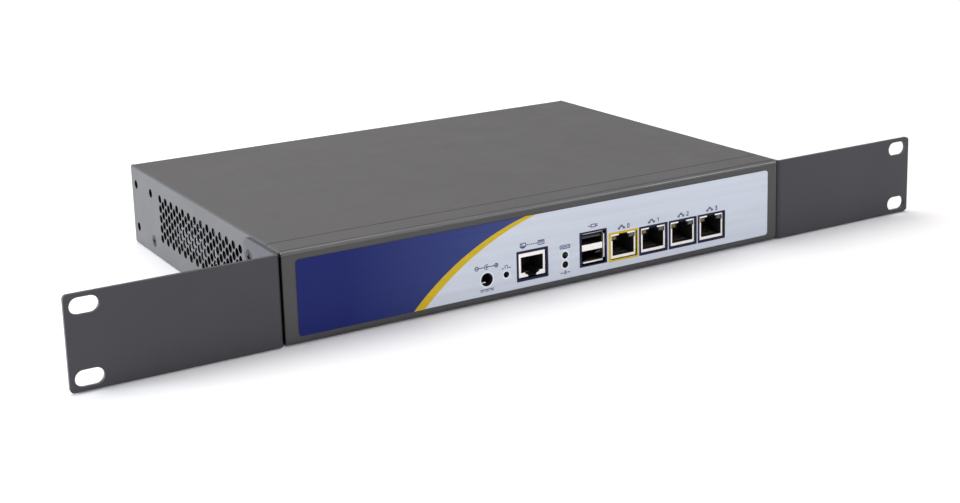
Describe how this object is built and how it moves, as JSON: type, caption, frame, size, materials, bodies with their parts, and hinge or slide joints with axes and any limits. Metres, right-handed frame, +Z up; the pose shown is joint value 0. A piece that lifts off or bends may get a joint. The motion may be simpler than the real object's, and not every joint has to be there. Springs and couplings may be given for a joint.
{
  "type": "rack mount firewall appliance",
  "caption": "Low steel network appliance case with L-shaped rack ears, vented sides and a front panel of network, console and USB sockets.",
  "frame": {"origin": "on the surface the case stands on, under the middle of the whole object's box", "axes": "+X to the right along the front panel, +Y from the front panel to the rear, +Z up"},
  "size_m": [0.4826, 0.209, 0.044],
  "materials": {
    "case_paint": "fine textured warm dark grey powder coat, low gloss",
    "ear_paint": "fine textured dark grey powder coat, slightly cooler than the case",
    "label_film": "printed polyester film, pale blue white with a dark blue field and a gold arc, satin",
    "black_screw": "black zinc, semi gloss",
    "circuit_board": "green solder mask on glass epoxy",
    "brass": "machined hex brass",
    "plated_steel": "bright nickel or zinc plated pressed steel",
    "chip": "moulded epoxy package",
    "aluminium": "extruded and bead blasted",
    "black_plastic": "moulded glass filled plastic, satin",
    "button_plastic": "moulded, satin",
    "green_lens": "tinted epoxy lamp, unlit",
    "red_lens": "tinted epoxy lamp, unlit",
    "red_sheath": "flat flexible sheath",
    "black_sheath": "flexible sheath"
  },
  "bodies": {
    "chassis": {"base_tray": "case_paint", "top_cover": "case_paint", "front_label": "label_film", "ear_left": "ear_paint", "ear_right": "ear_paint", "ear_screw_left_1": "black_screw", "ear_screw_left_2": "black_screw", "ear_screw_left_3": "black_screw", "ear_screw_left_4": "black_screw", "ear_screw_right_1": "black_screw", "ear_screw_right_2": "black_screw", "ear_screw_right_3": "black_screw", "ear_screw_right_4": "black_screw", "cover_screw_left": "black_screw", "cover_screw_right": "black_screw", "rear_screw_1": "black_screw", "rear_screw_2": "black_screw", "rear_screw_3": "black_screw", "main_board": "circuit_board", "board_standoff_1": "brass", "board_standoff_2": "brass", "board_standoff_3": "brass", "board_standoff_4": "brass", "board_screw_1": "plated_steel", "board_screw_2": "plated_steel", "board_screw_3": "plated_steel", "board_screw_4": "plated_steel", "processor": "chip", "cpu_heatsink": "aluminium", "memory_socket": "black_plastic", "memory_module": "circuit_board", "clock_battery": "plated_steel", "console_shell": "plated_steel", "console_insert": "black_plastic", "network_0_shell": "plated_steel", "network_0_insert": "black_plastic", "network_1_shell": "plated_steel", "network_1_insert": "black_plastic", "network_2_shell": "plated_steel", "network_2_insert": "black_plastic", "network_3_shell": "plated_steel", "network_3_insert": "black_plastic", "usb_shell": "plated_steel", "usb_tongue_lower": "black_plastic", "usb_tongue_upper": "black_plastic", "dc_inlet_body": "black_plastic", "dc_inlet_pin": "plated_steel", "reset_switch_body": "black_plastic", "lamp_holder": "black_plastic", "drive_lamp": "green_lens", "power_lamp": "red_lens", "drive_bracket": "plated_steel", "solid_state_drive": "aluminium", "fan_frame": "black_plastic", "board_header": "black_plastic", "drive_data_lead": "red_sheath", "drive_power_lead": "black_sheath", "fan_lead": "black_sheath"},
    "reset_button_body": {"reset_button": "button_plastic"},
    "fan_rotor_body": {"fan_rotor": "black_plastic"}
  },
  "joints": [
    {"name": "reset_button_slide", "type": "slide", "parent": "chassis", "child": "reset_button_body", "axis": [0, 1, 0], "range_m": [0, 0.0003], "stiffness_N_per_m": 2000},
    {"name": "fan_rotor_spin", "type": "hinge", "parent": "chassis", "child": "fan_rotor_body", "pos_m": [0.1372, -0.00015, 0.0217], "axis": [1, 0, 0], "continuous": true}
  ]
}
